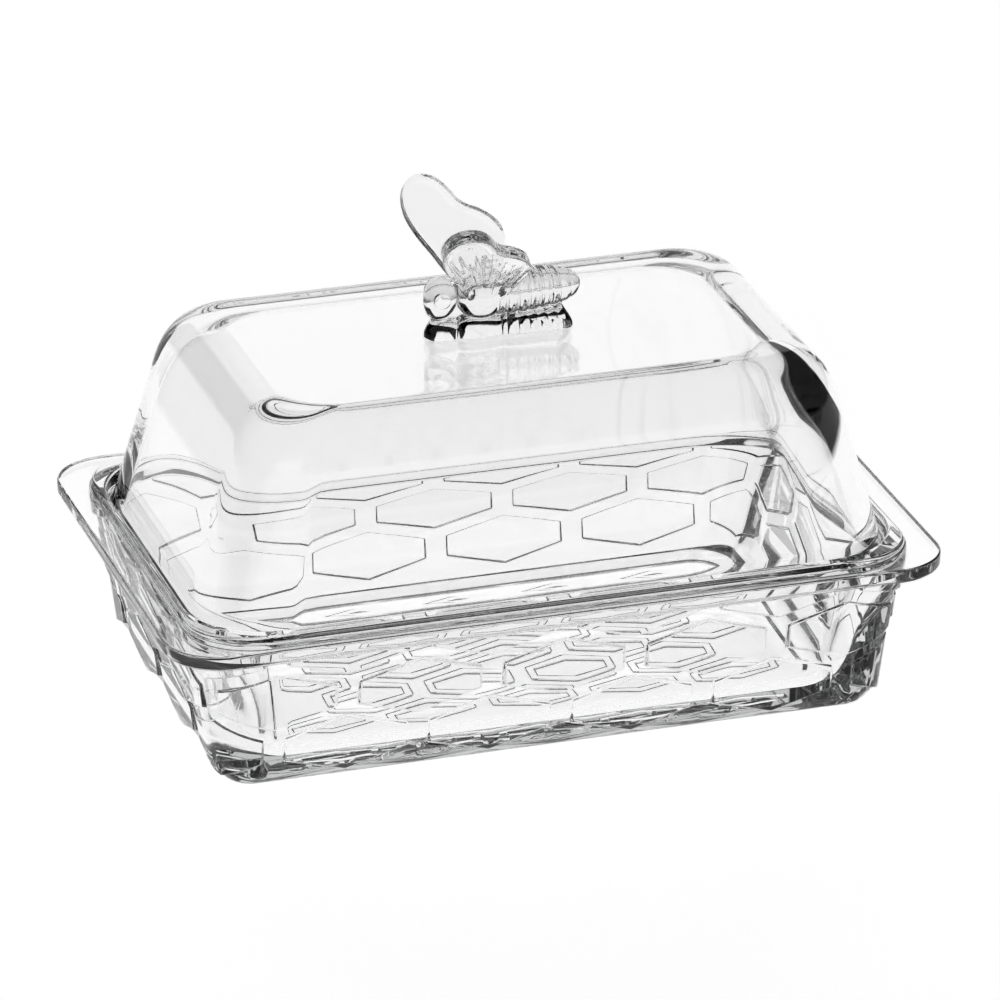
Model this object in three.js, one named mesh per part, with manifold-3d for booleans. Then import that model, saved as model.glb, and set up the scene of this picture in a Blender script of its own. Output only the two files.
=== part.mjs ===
// A pressed-glass butter dish: a honeycomb-walled base and a lifting lid with a bee-shaped knob.
//
// Millimetres, +Z up. The origin is on the table, under the middle of the base.
// +X runs along the length, from handle to handle.

import * as THREE from "three";
import { mergeVertices } from "three/addons/utils/BufferGeometryUtils.js";
import Module from "manifold-3d";

const wasm = await Module();
wasm.setup();

// ---- Driving dimensions ----

const LENGTH = 190; // over the flange, whose two ends are the handles
const WIDTH = 124; // over the flange
const FLOOR_Z = 5.7; // top of the base's floor
const FLANGE = { a: LENGTH / 2, b: WIDTH / 2, r: 14, bottom: 36.7, top: 40.2, chamfer: 0.7 };
const LEDGE_Z = 37.3; // the ledge that the lid stands on
const RIDGE_TOP_Z = 41.8; // top of the ridge around the lid

const WALL_CORE = { x: 72.5, y: 41.5 }; // centres of the wall's corner arcs
const RIDGE_FOOT = 15.6; // the ridge's outer distance from that core
const WALL_FOOT = 8.25; // the wall's distance from its core at the table
const WALL_DRAFT = 0.1905; // growth of that distance with height
const FOOT_ROUND = { height: 4, depth: 2.8 };

const FLOOR_HALF = { a: 69.5, b: 39.5, r: 8 };
const WELL_BOTTOM = { a: 76.5, b: 44.6, r: 12, z: 14 };
const WELL_TOP = { a: 83.2, b: 50.6, r: 16.5 };
const RIDGE_INSIDE = { a: 86.2, b: 53.5, r: 19.5 };

const HALF_PITCH = 17.55; // half the spacing of the wall's hexagons, along the long walls
const HALF_PITCHES = 4; // from the middle of a long wall to its corner hexagon
const ROW_PITCH = 13.3;
const ROW_CENTRE_Z = [10.35, 10.35 + ROW_PITCH, 10.35 + 2 * ROW_PITCH];
const SIDE_GAP = 2.95; // half the gap between two hexagons of one row
const SLANT_GAP = 1.86; // half the gap between two rows, measured upright
const STEP = 0.5; // width of the slope at a hexagon's edge
const ZIGZAG = 2.585; // half the rise of a row's zigzag edge
const RELIEF = { bottom: 1.25, top: 0.35 }; // how far a hexagon stands out of the wall

const RECESS = { a: 68.5, b: 38, r: 8 }; // inside of the foot, on the underside
const RECESS_DEPTH = 0.5;
const RIB_HEIGHT = 0.7;
const RIB_WIDTH = 1.9;
const FLOOR_HEX = { pitch: 25.3, rowPitch: 9.5, half: 10.6, side: 2.25, apex: 5.35, rows: 3 };

const LID_Z = 37.6; // bottom edge of the lid
const LID_SHOULDER_Z = 77.5;
const LID_TOP_Z = 87.5;
const LID_BOTTOM = { a: 85.5, b: 52.7, r: 19.7 };
const LID_SHOULDER = { a: 74, b: 46, r: 15 };
const LID_WALL = 4;
const LID_ROOF = 4.5;
const LID_EDGE = 0.8; // rounding of the bottom edge

const PLINTH_HEIGHT = 5.5;
const BEE_AXIS = 9.5; // height of the bee's body axis over the lid
const WING_LEAN = THREE.MathUtils.degToRad(37.6);
const WING_ROOT = 2.6; // sideways distance of a wing's root from the body axis
const WING_THICKNESS = 2.4;

const ARC_STEPS = 6;

// ---- Rounded-rectangle rings and lofts ----
//
// A ring is a list of [t, x, y, z]. t runs from 0 to 12 around it, three to a quarter: the half
// of a short side, the corner arc, and the half of a long side.

function pointOnRing({ a, b, r }, t) {
  const quarter = Math.floor(t / 3) % 4;
  const along = t - 3 * Math.floor(t / 3);
  const w = quarter % 2 ? 3 - along : along;
  const turn = (THREE.MathUtils.clamp(w - 1, 0, 1) * Math.PI) / 2;
  const x = (a - r) * Math.min(1, 3 - w) + r * Math.cos(turn);
  const y = (b - r) * Math.min(1, w) + r * Math.sin(turn);
  return [quarter === 1 || quarter === 2 ? -x : x, quarter > 1 ? -y : y];
}

function plainRing(size, z) {
  const ring = [];
  for (let quarter = 0; quarter < 4; quarter++) {
    for (let i = 0; i <= ARC_STEPS; i++) {
      const t = 3 * quarter + 1 + i / ARC_STEPS;
      ring.push([t, ...pointOnRing(size, t), z]);
    }
  }
  return ring;
}

// Joins two rings with triangles, stepping along whichever ring is behind.
function zip(first, second, index) {
  const n = first.length;
  const m = second.length;
  const at = (ring, i) => ring[i % ring.length].t + 12 * Math.floor(i / ring.length);
  let i = 0;
  let j = 0;
  while (i < n || j < m) {
    const a = first[i % n].id;
    const b = second[j % m].id;
    const stepFirst = j === m || (i < n && at(first, i + 1) <= at(second, j + 1));
    if (stepFirst) {
      i += 1;
      index.push(a, first[i % n].id, b);
    } else {
      j += 1;
      index.push(a, second[j % m].id, b);
    }
  }
}

// A closed solid through the rings, with a flat cap at each end.
function loft(rings) {
  const positions = [];
  const index = [];
  const addPoint = (x, y, z) => positions.push(x, y, z) / 3 - 1;
  const numbered = rings.map((ring) => ring.map(([t, x, y, z]) => ({ t, id: addPoint(x, y, z) })));
  for (let i = 1; i < numbered.length; i++) {
    zip(numbered[i - 1], numbered[i], index);
  }
  const bottom = numbered[0];
  const top = numbered[numbered.length - 1];
  const bottomCentre = addPoint(0, 0, rings[0][0][3]);
  const topCentre = addPoint(0, 0, rings[rings.length - 1][0][3]);
  bottom.forEach((p, i) => index.push(bottomCentre, bottom[(i + 1) % bottom.length].id, p.id));
  top.forEach((p, i) => index.push(topCentre, p.id, top[(i + 1) % top.length].id));
  const geometry = new THREE.BufferGeometry();
  geometry.setAttribute("position", new THREE.Float32BufferAttribute(positions, 3));
  geometry.setIndex(index);
  return geometry;
}

// ---- Solids ----

function solid(geometry) {
  const bare = geometry.clone();
  bare.deleteAttribute("normal");
  bare.deleteAttribute("uv");
  const merged = mergeVertices(bare, 1e-4);
  const vertProperties = new Float32Array(merged.attributes.position.array);
  const triVerts = new Uint32Array(merged.index.array);
  return new wasm.Manifold(new wasm.Mesh({ numProp: 3, vertProperties, triVerts }));
}

function geometryOf(manifold) {
  const mesh = manifold.getMesh();
  const geometry = new THREE.BufferGeometry();
  geometry.setAttribute("position", new THREE.Float32BufferAttribute(mesh.vertProperties, mesh.numProp));
  geometry.setIndex(new THREE.Uint32BufferAttribute(mesh.triVerts, 1));
  geometry.computeVertexNormals();
  return geometry;
}

function joinAll(geometries) {
  return geometries.map(solid).reduce((sum, next) => sum.add(next));
}

// ---- The base ----

// Distance of the plain wall from its core, at a height.
function wallOffset(z) {
  const fromTop = Math.max(0, FOOT_ROUND.height - z) / FOOT_ROUND.height;
  return WALL_FOOT + WALL_DRAFT * z - FOOT_ROUND.depth * fromTop ** 2;
}

function wallSize(offset) {
  return { a: WALL_CORE.x + offset, b: WALL_CORE.y + offset, r: offset };
}

// A place around the wall, in half pitches from the middle of a long wall, as a ring's t.
const CORNER_ARC = (wallOffset(ROW_CENTRE_Z[1]) * Math.PI) / 2;
const TO_CORNER_HEX = HALF_PITCH * HALF_PITCHES;
const QUARTER_LENGTH = WALL_CORE.x + CORNER_ARC + WALL_CORE.y;
const SHORT_HALF_PITCH = (QUARTER_LENGTH - TO_CORNER_HEX) / HALF_PITCHES;

function quarterParameter(h) {
  const past = h - HALF_PITCHES;
  const travelled = past < 0 ? h * HALF_PITCH : TO_CORNER_HEX + past * SHORT_HALF_PITCH;
  const fromEnd = QUARTER_LENGTH - travelled;
  if (fromEnd < WALL_CORE.y) return fromEnd / WALL_CORE.y;
  if (fromEnd < WALL_CORE.y + CORNER_ARC) return 1 + (fromEnd - WALL_CORE.y) / CORNER_ARC;
  return 3 - travelled / WALL_CORE.x;
}

// The wall's columns: five to each half pitch, at the edges of the gaps and in their middle.
function wallColumns() {
  const edge = SIDE_GAP / HALF_PITCH;
  const foot = (SIDE_GAP - STEP) / HALF_PITCH;
  const quarter = [];
  for (let node = 0; node <= 2 * HALF_PITCHES; node++) {
    for (const shift of [-edge, -foot, 0, foot, edge]) {
      const h = node + shift;
      if (h >= 0 && h <= 2 * HALF_PITCHES) quarter.push(h);
    }
  }
  const columns = [];
  for (let side = 0; side < 4; side++) {
    for (const h of quarter) {
      const onAxis = h === 0 || h === 2 * HALF_PITCHES;
      if (onAxis && (h === 0) === (side % 2 === 1)) continue; // the next quarter adds this one
      const w = quarterParameter(h);
      columns.push({ h, t: 3 * side + (side % 2 ? 3 - w : w) });
    }
  }
  return columns.map(({ h, t }) => ({ h, t: t % 12 })).sort((p, q) => p.t - q.t);
}

// -1 at the middles of the second row's hexagons, +1 halfway between them.
function zigzag(h) {
  return 2 * Math.abs(h - 2 * Math.round(h / 2)) - 1;
}

function wallRing(columns, heightAt, reliefAt) {
  return columns.map(({ h, t }) => {
    const z = heightAt(h);
    return [t, ...pointOnRing(wallSize(wallOffset(z) + reliefAt(h)), t), z];
  });
}

// The four rings of a row of hexagons: foot of the lower step, lower edge, upper edge, foot of the upper step.
function rowRings(columns, row) {
  const sign = row % 2 ? 1 : -1;
  const middle = ROW_CENTRE_Z[row];
  const halfRow = ROW_PITCH / 2;
  const lower = (h) => middle - halfRow + sign * ZIGZAG * zigzag(h) + SLANT_GAP;
  const upper = (h) => middle + halfRow - sign * ZIGZAG * zigzag(h) - SLANT_GAP;
  const inHexagon = (h) => {
    const fromGap = Math.abs(sign * zigzag(h) - 1) / 2;
    return fromGap >= SIDE_GAP / HALF_PITCH - 1e-6;
  };
  const proud = (amount) => (h) => (inHexagon(h) ? amount : 0);
  const flush = () => 0;
  const bottomRings = [
    wallRing(columns, (h) => lower(h) - STEP, flush),
    wallRing(columns, lower, proud(RELIEF.bottom)),
  ];
  if (row === ROW_CENTRE_Z.length - 1) {
    const cut = FLANGE.bottom - STEP;
    const half = (RELIEF.bottom + RELIEF.top) / 2;
    return [...bottomRings, wallRing(columns, () => cut, proud(half))];
  }
  return [
    ...bottomRings,
    wallRing(columns, upper, proud(RELIEF.top)),
    wallRing(columns, (h) => upper(h) + STEP, flush),
  ];
}

function baseOutside() {
  const columns = wallColumns();
  return loft([
    plainRing(wallSize(wallOffset(0)), 0),
    wallRing(columns, () => 0.9, () => 0),
    ...rowRings(columns, 0),
    ...rowRings(columns, 1),
    ...rowRings(columns, 2),
    plainRing(wallSize(wallOffset(FLANGE.bottom)), FLANGE.bottom),
    ...flangeRings(),
    plainRing(wallSize(RIDGE_FOOT), FLANGE.top),
    plainRing(wallSize(RIDGE_FOOT - 0.3), RIDGE_TOP_Z - 0.7),
    plainRing(wallSize(RIDGE_FOOT - 0.9), RIDGE_TOP_Z),
  ]);
}

// The flat flange all round the wall's top, wide enough at the two ends to lift the dish by.
function flangeRings() {
  const { chamfer, bottom, top } = FLANGE;
  const inner = { a: FLANGE.a - chamfer, b: FLANGE.b - chamfer, r: FLANGE.r - chamfer };
  return [
    plainRing(inner, bottom),
    plainRing(FLANGE, bottom + chamfer),
    plainRing(FLANGE, top - chamfer),
    plainRing(inner, top),
  ];
}

// The space inside the base: floor, rounded corner, drafted wall, ledge, and the inside of the ridge.
function well() {
  const rings = [plainRing(FLOOR_HALF, FLOOR_Z)];
  const steps = 4;
  for (let i = 1; i <= steps; i++) {
    const turn = (i / steps) * (Math.PI / 2);
    const out = Math.sin(turn);
    const rise = 1 - Math.cos(turn);
    const size = {
      a: THREE.MathUtils.lerp(FLOOR_HALF.a, WELL_BOTTOM.a, out),
      b: THREE.MathUtils.lerp(FLOOR_HALF.b, WELL_BOTTOM.b, out),
      r: THREE.MathUtils.lerp(FLOOR_HALF.r, WELL_BOTTOM.r, out),
    };
    rings.push(plainRing(size, THREE.MathUtils.lerp(FLOOR_Z, WELL_BOTTOM.z, rise)));
  }
  const grow = (size, by) => ({ a: size.a + by, b: size.b + by, r: size.r + by });
  rings.push(
    plainRing(WELL_TOP, LEDGE_Z - 0.6),
    plainRing(grow(WELL_TOP, 0.5), LEDGE_Z),
    plainRing(RIDGE_INSIDE, LEDGE_Z),
    plainRing(RIDGE_INSIDE, RIDGE_TOP_Z - 0.7),
    plainRing(grow(RIDGE_INSIDE, 0.7), RIDGE_TOP_Z),
    plainRing(grow(RIDGE_INSIDE, 0.7), RIDGE_TOP_Z + 2),
  );
  return loft(rings);
}

// A hexagon's corners round (x, y), each side moved in by about the inset.
function hexagonCorners(x, y, inset) {
  const { half, side, apex } = FLOOR_HEX;
  const wide = half - inset;
  const shrink = 1 - inset / apex;
  return [
    new THREE.Vector2(x + wide, y - side * shrink),
    new THREE.Vector2(x + wide, y + side * shrink),
    new THREE.Vector2(x, y + apex * shrink),
    new THREE.Vector2(x - wide, y + side * shrink),
    new THREE.Vector2(x - wide, y - side * shrink),
    new THREE.Vector2(x, y - apex * shrink),
  ];
}

// What is pressed out of the recess's bottom, so that a rib stays round each small hexagon.
function betweenRibs() {
  const margin = 1.5;
  const size = { a: RECESS.a - margin, b: RECESS.b - margin, r: RECESS.r - margin };
  const outline = new THREE.Shape(plainRing(size, 0).map(([, x, y]) => new THREE.Vector2(x, y)));
  const shapes = [outline];
  const { pitch, rowPitch, rows, half } = FLOOR_HEX;
  for (let row = -rows; row <= rows; row++) {
    const shift = row % 2 ? 0 : pitch / 2;
    for (let x = -3 * pitch + shift; x < size.a - half; x += pitch) {
      if (x - half <= -size.a) continue;
      outline.holes.push(new THREE.Path(hexagonCorners(x, row * rowPitch, 0)));
      shapes.push(new THREE.Shape(hexagonCorners(x, row * rowPitch, RIB_WIDTH)));
    }
  }
  return new THREE.ExtrudeGeometry(shapes, { depth: RIB_HEIGHT + RECESS_DEPTH, bevelEnabled: false });
}

function footRecess() {
  const inner = { a: RECESS.a - 1, b: RECESS.b - 1, r: RECESS.r - 1 };
  return loft([plainRing(RECESS, -1), plainRing(RECESS, 0), plainRing(inner, RECESS_DEPTH)]);
}

function baseGeometry() {
  const hollow = solid(baseOutside()).subtract(solid(well()));
  return geometryOf(hollow.subtract(solid(footRecess())).subtract(solid(betweenRibs())));
}

// ---- The lid ----

// Rings of a rounded shoulder, from the wall's top to the flat roof.
function shoulderRings(wall, wallZ, roofZ, steps) {
  const radius = roofZ - wallZ;
  const rings = [];
  for (let i = 0; i <= steps; i++) {
    const turn = (i / steps) * (Math.PI / 2);
    const inset = radius * (1 - Math.cos(turn));
    const size = { a: wall.a - inset, b: wall.b - inset, r: wall.r - 0.7 * inset };
    rings.push(plainRing(size, wallZ + radius * Math.sin(turn)));
  }
  return rings;
}

function lidGeometry() {
  const thinner = (size, by) => ({ a: size.a - by, b: size.b - by, r: size.r - by });
  const outside = shoulderRings(LID_SHOULDER, LID_SHOULDER_Z, LID_TOP_Z, 6);
  const insideWall = thinner(LID_SHOULDER, LID_WALL - 0.2);
  const inside = shoulderRings(insideWall, LID_SHOULDER_Z - LID_ROOF - 0.5, LID_TOP_Z - LID_ROOF, 6);
  return loft([
    ...inside.reverse(),
    plainRing(thinner(LID_BOTTOM, LID_WALL), LID_Z + LID_EDGE),
    plainRing(thinner(LID_BOTTOM, LID_WALL - LID_EDGE), LID_Z),
    plainRing(thinner(LID_BOTTOM, LID_EDGE), LID_Z),
    plainRing(LID_BOTTOM, LID_Z + LID_EDGE),
    ...outside,
  ]);
}

// ---- The bee knob ----

// A round body part along X, from [x, radius] pairs.
function bodyPart(profile, widen = 1) {
  const geometry = new THREE.LatheGeometry(
    profile.map(([x, radius]) => new THREE.Vector2(radius, x)),
    16,
  );
  geometry.rotateZ(-Math.PI / 2);
  geometry.scale(1, widen, 1);
  geometry.translate(0, 0, BEE_AXIS);
  return geometry;
}

function ovalProfile(centre, half, radius, steps = 8) {
  const profile = [];
  for (let i = 0; i <= steps; i++) {
    const turn = (i / steps) * Math.PI;
    profile.push([centre - half * Math.cos(turn), i % steps ? radius * Math.sin(turn) : 0]);
  }
  return profile;
}

// The ringed abdomen narrows to a pointed tail.
function abdomenProfile() {
  const start = -1;
  const tail = 21;
  const rings = 7;
  const profile = [[start, 0]];
  for (let i = 0; i < rings; i++) {
    const x = start + 1.5 + i * 2.7;
    const taper = 5.6 * Math.sqrt(1 - ((x - 4) / 19) ** 2);
    profile.push([x, taper - 0.5], [x + 0.5, taper], [x + 1.9, taper - 0.1]);
  }
  profile.push([tail, 0]);
  return profile;
}

function plinthGeometry() {
  const outline = new THREE.Shape();
  outline.moveTo(18.2, 0);
  outline.lineTo(18.2, 4);
  outline.quadraticCurveTo(7, 6.2, 0.8, 4.2);
  outline.quadraticCurveTo(-5, 6.2, -10, 3.4);
  outline.quadraticCurveTo(-17.2, 6.6, -17.3, 0);
  outline.quadraticCurveTo(-17.2, -6.6, -10, -3.4);
  outline.quadraticCurveTo(-5, -6.2, 0.8, -4.2);
  outline.quadraticCurveTo(7, -6.2, 18.2, -4);
  outline.closePath();
  return new THREE.ExtrudeGeometry(outline, { depth: PLINTH_HEIGHT, bevelEnabled: false, curveSegments: 7 });
}

// The web of glass that carries the body on its plinth.
function webGeometry() {
  const geometry = new THREE.BoxGeometry(27, 6.5, BEE_AXIS - PLINTH_HEIGHT + 1);
  geometry.translate(0.5, 0, (BEE_AXIS + PLINTH_HEIGHT - 1) / 2);
  return geometry;
}

// One wing: a forewing with the hind wing's lobe below its notch, standing out from the back.
function wingGeometry(side) {
  const outline = new THREE.Shape();
  outline.moveTo(-6.5, -1);
  outline.quadraticCurveTo(-9.6, 3, -12, 9.5);
  outline.quadraticCurveTo(-18.6, 20, -17.4, 24.5);
  outline.quadraticCurveTo(-15.6, 29.4, -10.4, 29.3);
  outline.quadraticCurveTo(-7.4, 28.6, -5.6, 24.6);
  outline.quadraticCurveTo(-4.4, 22, -2.7, 21);
  outline.quadraticCurveTo(2.6, 18.6, 5.2, 14);
  outline.quadraticCurveTo(6.6, 10.4, 3.6, 6);
  outline.quadraticCurveTo(1.4, 3, 1.5, -1);
  outline.closePath();
  const bevel = 0.7;
  const geometry = new THREE.ExtrudeGeometry(outline, {
    depth: WING_THICKNESS - 2 * bevel,
    bevelThickness: bevel,
    bevelSize: bevel,
    bevelOffset: -bevel,
    bevelSegments: 2,
    curveSegments: 5,
  });
  geometry.translate(0, 0, bevel - WING_THICKNESS / 2);
  geometry.rotateX(Math.PI / 2 - side * WING_LEAN);
  geometry.translate(0, side * WING_ROOT, BEE_AXIS);
  return geometry;
}

function eyeGeometry(side) {
  const geometry = new THREE.SphereGeometry(1.9, 10, 8);
  geometry.translate(-14.6, side * 3.7, BEE_AXIS + 0.9);
  return geometry;
}

function beeGeometry() {
  return geometryOf(
    joinAll([
      plinthGeometry(),
      webGeometry(),
      bodyPart(ovalProfile(-13.3, 4.4, 4.7), 1.08),
      bodyPart(ovalProfile(-3, 7, 6.1)),
      bodyPart(abdomenProfile()),
      eyeGeometry(1),
      eyeGeometry(-1),
      wingGeometry(1),
      wingGeometry(-1),
    ]),
  );
}

// ---- Assembly ----

function glassMesh(name, geometry) {
  const material = new THREE.MeshStandardMaterial({
    color: 0xf2f5f4,
    roughness: 0.04,
    metalness: 0,
    transparent: true,
    opacity: 0.35,
  });
  const mesh = new THREE.Mesh(geometry, material);
  mesh.name = name;
  return mesh;
}

const butterDish = new THREE.Group();
butterDish.add(glassMesh("dish_base", baseGeometry()));

const lid = new THREE.Group();
lid.add(glassMesh("lid_cover", lidGeometry()));

const knob = glassMesh("bee_knob", beeGeometry());
knob.position.z = LID_TOP_Z;
lid.add(knob);
butterDish.add(lid);

export default butterDish;
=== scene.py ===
"""Glass butter dish: a honeycomb-walled base and a lid with a bee knob, in clear pressed glass.

Lengths are in millimetres until a mesh is made. They follow the CAD model, except that the wings'
rims are thicker here, the plinth's sides lean in, and the curves are smoother.
"""
import math

import bmesh
import bpy
import numpy as np
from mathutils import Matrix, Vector
from mathutils.geometry import delaunay_2d_cdt


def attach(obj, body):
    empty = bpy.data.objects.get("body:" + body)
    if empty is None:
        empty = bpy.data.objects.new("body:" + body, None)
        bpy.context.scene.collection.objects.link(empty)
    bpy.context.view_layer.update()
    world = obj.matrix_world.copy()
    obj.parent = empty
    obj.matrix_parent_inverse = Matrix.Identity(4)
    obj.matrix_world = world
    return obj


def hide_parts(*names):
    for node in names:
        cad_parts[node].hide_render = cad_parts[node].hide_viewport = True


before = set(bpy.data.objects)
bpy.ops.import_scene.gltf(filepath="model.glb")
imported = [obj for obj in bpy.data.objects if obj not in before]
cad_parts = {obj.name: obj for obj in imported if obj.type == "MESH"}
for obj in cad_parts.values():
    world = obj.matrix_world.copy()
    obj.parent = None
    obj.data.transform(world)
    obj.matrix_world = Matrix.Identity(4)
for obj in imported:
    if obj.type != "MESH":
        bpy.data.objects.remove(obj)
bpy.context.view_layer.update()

MM = 0.001

# ---- Dimensions of the base ----

FLOOR_Z = 5.7
LEDGE_Z = 37.3
RIDGE_TOP_Z = 41.8
CORE_X, CORE_Y = 72.5, 41.5  # centres of the wall's corner arcs
WALL_FOOT = 8.25  # the wall's distance from its core at the table
WALL_DRAFT = 0.1905  # growth of that distance with height
FOOT_HEIGHT, FOOT_DEPTH = 4.0, 2.8  # rounding of the wall's foot
FLANGE = dict(a=95.0, b=62.0, r=14.0)
FLANGE_BOTTOM, FLANGE_TOP = 36.7, 40.2
FLANGE_LOWER_CORNER, FLANGE_UPPER_CORNER = 0.9, 0.55
RIDGE_FOOT = 15.6  # the ridge's outer distance from the core
RIDGE_CREST = 0.8  # rounding of the ridge's top
RIDGE_INSIDE = dict(a=86.2, b=53.5, r=19.5)
WELL_TOP = dict(a=83.2, b=50.6, r=16.5)
WELL_BOTTOM = dict(a=76.5, b=44.6, r=12.0)
WELL_BOTTOM_Z = 14.0
WELL_LIP = 0.9  # rounding between the ledge and the well
FLOOR_HALF = dict(a=69.5, b=39.5, r=8.0)

HALF_PITCH = 17.55
HALF_PITCHES = 4
ROW_PITCH = 13.3
ROW_CENTRES = [10.35 + ROW_PITCH * row for row in range(3)]
SIDE_EDGE = 2.8  # from the middle of a gap to the hexagons beside it
SLANT_GAP = 1.86
ZIGZAG = 2.585
RELIEF_BOTTOM, RELIEF_TOP = 1.25, 0.3  # how far a hexagon stands out of the wall
STEP_LINES = [(-0.5, 0.0), (-0.24, 0.0), (-0.12, 0.156), (0.0, 0.5), (0.12, 0.844), (0.24, 1.0),
              (0.5, 1.0)]  # place across a hexagon's edge, and share of the relief

RECESS = dict(a=68.5, b=38.0, r=8.0)
RECESS_DEPTH = 0.5
RIB_HEIGHT = 0.7
RIB_WIDTH = 1.9
HEX_PITCH, HEX_ROW_PITCH = 25.3, 9.5
HEX_HALF, HEX_SIDE, HEX_APEX = 10.6, 2.25, 5.35
HEX_ROWS = 3
RIB_LINES = [(-0.3, 0), (-0.12, 0), (-0.06, 0.156), (0, 0.5), (0.06, 0.844), (0.12, 1),
             (0.3, 1)]  # place across a rib's side, and share of its height

# ---- Dimensions of the lid and the knob ----

LID_Z = 37.6
SHOULDER_Z = 77.5
ROUND_START_Z = 75.0  # where the outside begins to turn into the roof
LID_TOP_Z = 87.5
LID_BOTTOM = dict(a=85.5, b=52.7, r=19.7)
LID_SHOULDER = dict(a=74.0, b=46.0, r=15.0)
LID_FLAT = dict(a=62.0, b=34.2, r=8.0)
ROUND_RISE, ROUND_PULL = 8.5, 6.5  # how firmly that turn leaves the wall, and meets the roof
LID_WALL = 4.0
LID_EDGE = 0.9
CORNER_FILL = 3.5  # the glass is thicker in the corners, inside
CEILING_Z = 83.0
CURVE_START_Z = 50.0  # where the lid's inside begins to curve towards the ceiling
CURVE_INSET = 12.0
CURVE_SPLIT = 0.84  # share of the curve's height that is divided by height, the rest by inset

BEE_AXIS = 9.5  # height of the body's axis over the roof
PLINTH_HEIGHT = 5.5
WING_LEAN = math.radians(37.6)
WING_ROOT = 2.6  # a wing's sideways distance from the body's axis, at its root
BOND_GAP = 0.02  # between the foot and the roof
VOXEL, QUICK_VOXEL = 0.3, 0.5  # grid size of the bee's skin

PLINTH_OUTLINE = [(18.2, 4.0), (13, 4.9), (7.5, 5.0), (3.5, 4.6), (0.8, 3.9), (-2, 4.7),
                  (-5, 5.05), (-8, 4.4), (-10, 3.4), (-11.6, 4.1), (-13.4, 4.4), (-15.8, 3.5),
                  (-17.3, 0)]  # one half, from the tail to the head
PLINTH_SIDES = [(0, -1.0), (0, 0.7), (0.15, 1.3), (0.7, 2.4), (1.4, 3.5), (1.9, 4.4), (2.3, 5.1),
                (2.8, PLINTH_HEIGHT)]  # inset and height, up its leaning sides
PLINTH_HALF_LENGTH, PLINTH_HALF_WIDTH = 18, 5.2
HEAD_X, HEAD_HALF, HEAD_RADIUS = -13.3, 4.0, 4.6
THORAX_X, THORAX_HALF, THORAX_RADIUS = -3.6, 6.6, 6.0
EYE_X, EYE_SIDE, EYE_RAISE = -14.0, 4.0, 0.8
EYE_DISC = [(-2, 0), (-2, 2.0), (0.5, 2.0), (0.75, 1.85), (0.85, 1.6), (0.95, 0.8), (1.0, 0)]
ABDOMEN_RADIUS, ABDOMEN_RINGS, RING_LENGTH, RING_GROOVE = 5.6, 7, 2.7, 0.95
TAIL_LENGTH = 3.4

# ---- The studio ----

STUDIO_RADIUS = 6  # metres
FLOOR_SHADE, FLOOR_GLOW = 0.9, 0.95
LIGHT_TOP, LIGHT_LOW = 0.5, 0.02  # sine of the white walls' height: in front or behind, and aside
LIGHT_FADE_START, LIGHT_FADE_END = 0.16, 0.44  # sine of the turn at which that height falls
LEFT_LIGHT = -0.6  # the left side's turn counts for less
LIGHT_EDGE = 0.03  # softness of the walls' upper edge

CAMERA_AZIMUTH = math.radians(-17.52)
CAMERA_ELEVATION = math.radians(23.43)
CAMERA_PLACE = (-0.49113, -1.56049, 0.75223)  # metres
CAMERA_LENS = 268.5

GLASS_IOR = 1.5
GLASS_TINT = (0.10, 0.12, 0.11, 1)  # absorption colour: green is absorbed least
POLISH_SCALE = 60
POLISH_RANGE = (0.45, 0.75)  # noise values from fully polished to the given roughness
VIEW_GAMMA = 0.75
LIGHT_BOUNCES, MIRROR_BOUNCES = 16, 12


# ---- Rounded-rectangle rings ----
#
# t runs from 0 to 12 round a ring, three to a quarter: half a short side, the corner arc, half a
# long side.

def ring_points(size, t, z):
    a, b, r = size["a"], size["b"], size["r"]
    quarter = np.floor(t / 3).astype(int) % 4
    along = t - 3 * np.floor(t / 3)
    w = np.where(quarter % 2 == 1, 3 - along, along)
    turn = np.clip(w - 1, 0, 1) * math.pi / 2
    x = (a - r) * np.minimum(1, 3 - w) + r * np.cos(turn)
    y = (b - r) * np.minimum(1, w) + r * np.sin(turn)
    x = np.where((quarter == 1) | (quarter == 2), -x, x)
    y = np.where(quarter > 1, -y, y)
    return np.stack([x, y, np.broadcast_to(z, x.shape)], axis=1)


def mix_size(first, second, amount):
    """A ring's size part of the way from one to another."""
    return {key: first[key] + (second[key] - first[key]) * amount for key in first}


def grow(size, by):
    return {key: size[key] + by for key in size}


def core_size(offset):
    """A ring at a distance from the wall's core."""
    return dict(a=CORE_X + offset, b=CORE_Y + offset, r=offset)


def corner(size_in, z_in, size_out, z_out, steps, turn_first):
    """Sizes and heights round a quarter ellipse. turn_first: it leaves the first point sideways."""
    out = []
    for i in range(steps + 1):
        angle = i / steps * math.pi / 2
        side, rise = (math.sin(angle), 1 - math.cos(angle)) if turn_first \
            else (1 - math.cos(angle), math.sin(angle))
        out.append((mix_size(size_in, size_out, side), z_in + (z_out - z_in) * rise))
    return out


# ---- Meshes ----

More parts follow.
